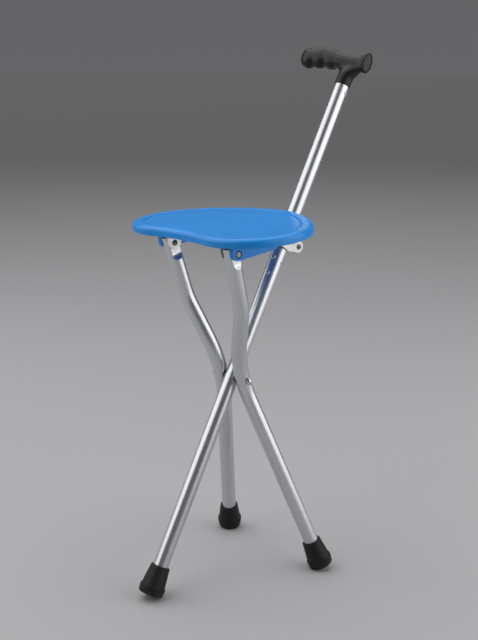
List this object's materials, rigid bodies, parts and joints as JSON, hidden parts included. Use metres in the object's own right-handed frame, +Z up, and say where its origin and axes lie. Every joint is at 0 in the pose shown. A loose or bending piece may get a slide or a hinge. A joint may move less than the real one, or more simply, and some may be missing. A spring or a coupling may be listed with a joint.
{
  "type": "walking stick seat",
  "caption": "Folding walking stick with a hinged moulded seat on splayed tube legs, T grip and rubber feet.",
  "frame": {"origin": "on the floor, at the middle of the open stick's overall length and width", "axes": "+Z up, +X from the shaft's foot towards the handle in side view, +Y towards the grip's long end; every hinge axis is along Y"},
  "size_m": [0.4396, 0.2856, 0.7676],
  "materials": {
    "tube_alloy": "satin anodised drawn tube",
    "black_plastic": "fine matt moulded",
    "slide_plastic": "smooth low-friction moulding",
    "blue_plastic": "semi-gloss moulded, fine texture on the panel",
    "foot_rubber": "matt black rubber",
    "bright_steel": "bright zinc-plated",
    "plate_steel": "pressed plate, zinc-plated"
  },
  "bodies": {
    "stick": {"main_shaft": "tube_alloy", "shaft_liner": "tube_alloy", "liner_rivets": "bright_steel", "handle_rivet": "bright_steel", "seat_stop": "bright_steel", "shaft_ferrule": "foot_rubber", "shaft_ferrule_disc": "bright_steel", "left_pivot_saddle": "slide_plastic", "right_pivot_saddle": "slide_plastic", "left_pivot_washer": "bright_steel", "right_pivot_washer": "bright_steel", "pivot_bolt": "bright_steel", "pivot_nut": "bright_steel", "handle": "black_plastic", "handle_end_cap": "black_plastic"},
    "legs": {"left_leg": "tube_alloy", "left_leg_pivot_bush": "bright_steel", "left_leg_hinge_bush": "bright_steel", "left_leg_plug": "black_plastic", "left_ferrule": "foot_rubber", "left_ferrule_disc": "bright_steel", "right_leg": "tube_alloy", "right_leg_pivot_bush": "bright_steel", "right_leg_hinge_bush": "bright_steel", "right_leg_plug": "black_plastic", "right_ferrule": "foot_rubber", "right_ferrule_disc": "bright_steel"},
    "seat": {"seat_shell": "blue_plastic", "left_hinge_plate": "plate_steel", "right_hinge_plate": "plate_steel", "left_hinge_bolt": "bright_steel", "right_hinge_bolt": "bright_steel", "left_hinge_nut": "bright_steel", "right_hinge_nut": "bright_steel", "plate_screws": "bright_steel", "bracket_screws": "bright_steel", "slide_bracket": "plate_steel", "slide_sleeve": "slide_plastic", "slide_bolt": "bright_steel", "slide_nut": "bright_steel"}
  },
  "joints": [
    {"name": "leg_fold", "type": "hinge", "parent": "stick", "child": "legs", "pos_m": [-0.04469, 0, 0.297], "axis": [0, 1, 0], "range_deg": [0, 44.5]},
    {"name": "seat_fold", "type": "hinge", "parent": "legs", "child": "seat", "pos_m": [-0.10478, 0, 0.49477], "axis": [0, 1, 0], "range_deg": [-103.24, 0]}
  ],
  "couplings": [
    {"joint": "seat_fold", "follows": "leg_fold", "ratio": -2.32}
  ]
}
